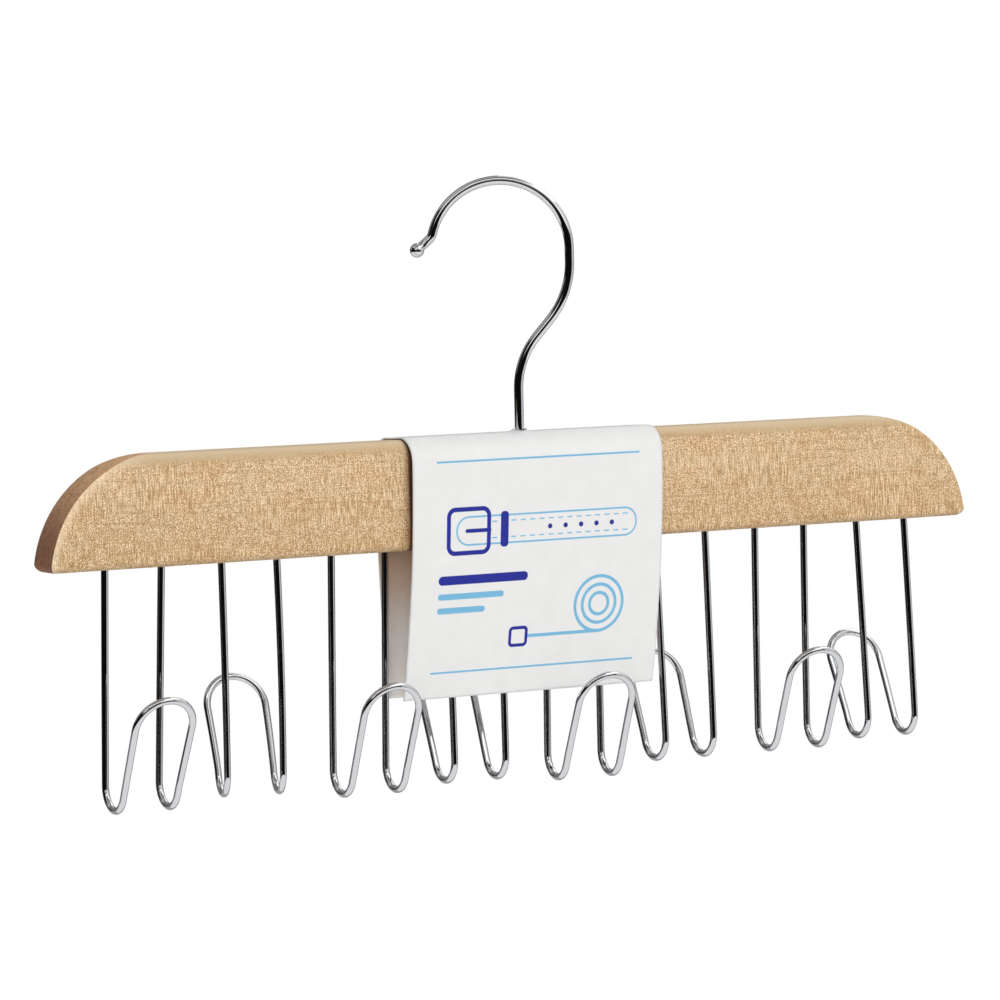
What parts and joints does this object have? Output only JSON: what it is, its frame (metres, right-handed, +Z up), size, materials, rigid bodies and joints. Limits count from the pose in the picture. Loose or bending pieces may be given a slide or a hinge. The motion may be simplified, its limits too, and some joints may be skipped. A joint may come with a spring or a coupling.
{
  "type": "belt hanger",
  "caption": "Rounded wooden bar on a swivelling chrome wire hook, with chrome wire belt hooks along its underside to the front and rear and a folded card sleeve.",
  "frame": {"origin": "the point inside the swivel hook's ring where a rail bears, straight above the shank and on the swivel axis", "axes": "+X along the bar, to the right seen from the front; -Y the front, where the sleeve's print is; +Z up"},
  "size_m": [0.35, 0.0508, 0.2021],
  "materials": {
    "bar_wood": "pale beech, clear matt lacquer",
    "hook_wire": "bright chrome-plated steel wire",
    "belt_hook_wire": "bright chrome-plated steel wire",
    "hook_fastener": "zinc-plated steel",
    "sleeve_card": "white coated card with a plain light-blue and navy print"
  },
  "bodies": {
    "hook": {"swivel_hook": "hook_wire", "hook_nut": "hook_fastener"},
    "bar": {"wooden_bar": "bar_wood", "hook_washer": "hook_fastener", "card_sleeve": "sleeve_card", "belt_hook_front_1": "belt_hook_wire", "belt_hook_rear_1": "belt_hook_wire", "belt_hook_front_2": "belt_hook_wire", "belt_hook_rear_2": "belt_hook_wire", "belt_hook_front_3": "belt_hook_wire", "belt_hook_rear_3": "belt_hook_wire", "belt_hook_front_4": "belt_hook_wire", "belt_hook_rear_4": "belt_hook_wire"}
  },
  "joints": [
    {"name": "bar_swivel", "type": "hinge", "parent": "hook", "child": "bar", "pos_m": [0, 0, -0.08182], "axis": [0, 0, 1], "continuous": true}
  ]
}
